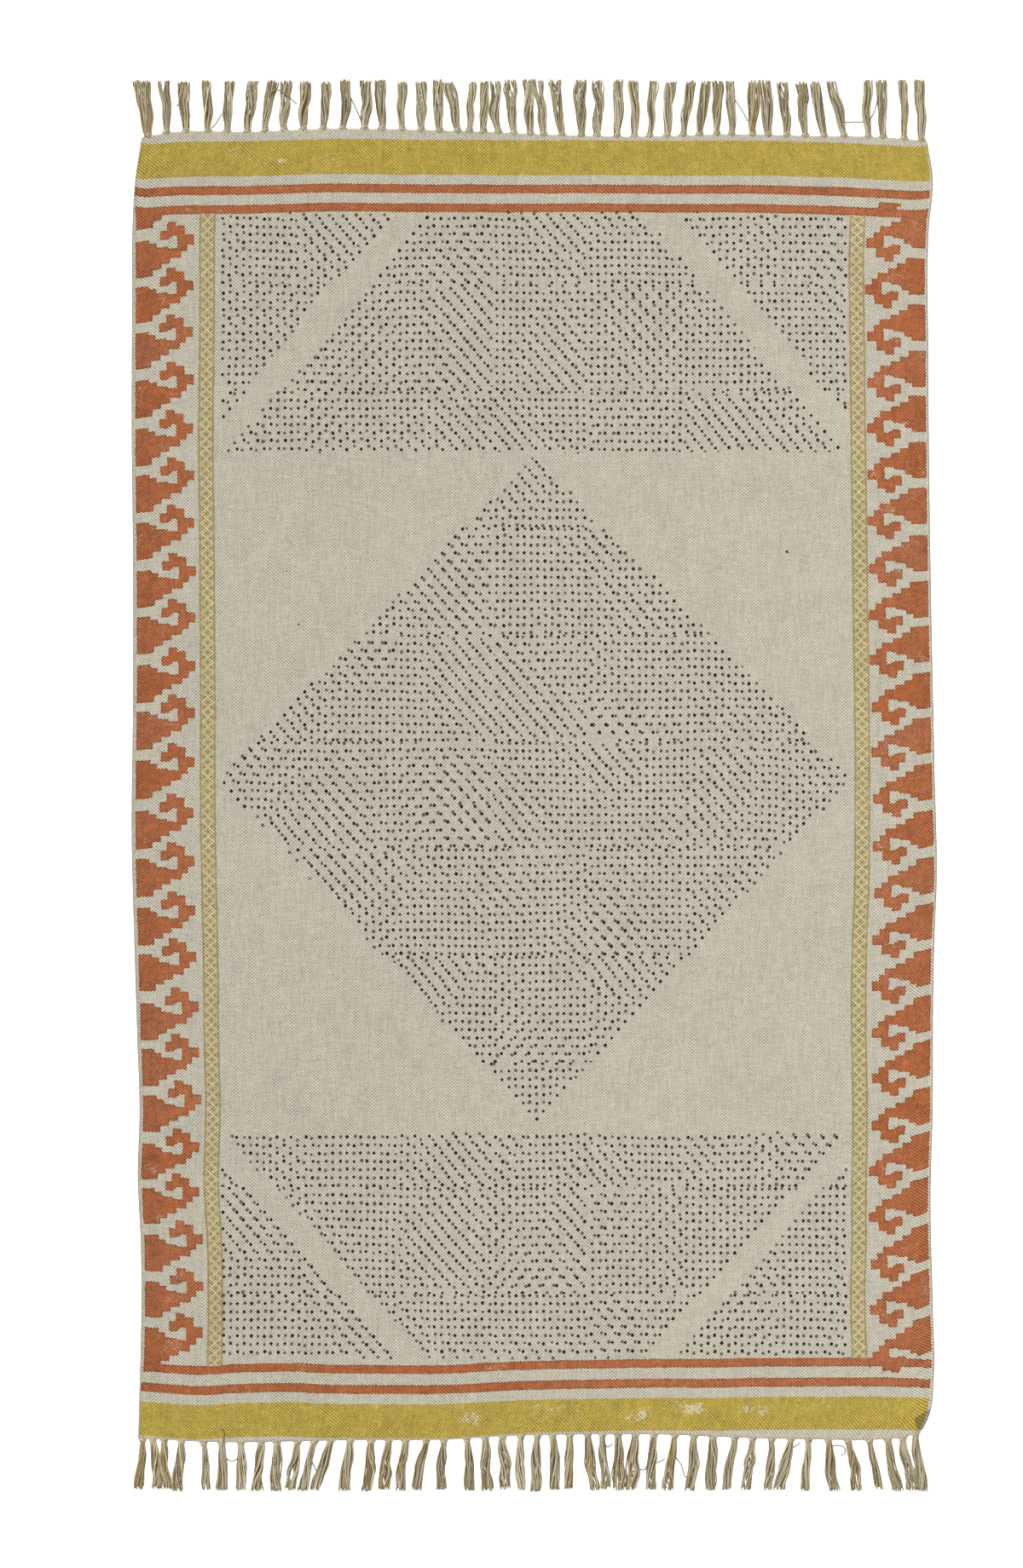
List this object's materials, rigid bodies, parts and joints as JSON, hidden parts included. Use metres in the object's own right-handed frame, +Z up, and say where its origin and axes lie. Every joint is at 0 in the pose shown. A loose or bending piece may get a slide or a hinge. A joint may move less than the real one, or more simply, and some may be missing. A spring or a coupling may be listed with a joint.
{
  "type": "dhurrie rug",
  "caption": "Flat-woven cotton dhurrie, block-printed with a dotted diamond field, stepped hook borders and striped ends, with a knotted fringe at each end.",
  "frame": {"origin": "on the floor, under the middle of the box round the rug and its fringes", "axes": "+Y along the rug's length towards the far fringe, +X across it, +Z up out of the printed face"},
  "size_m": [0.9213, 1.616, 0.003],
  "materials": {
    "printed_cotton": "matt",
    "fringe_cotton": "matt"
  },
  "bodies": {
    "root": {"rug_cloth": "printed_cotton", "fringe_far": "fringe_cotton", "fringe_near": "fringe_cotton"}
  },
  "joints": []
}
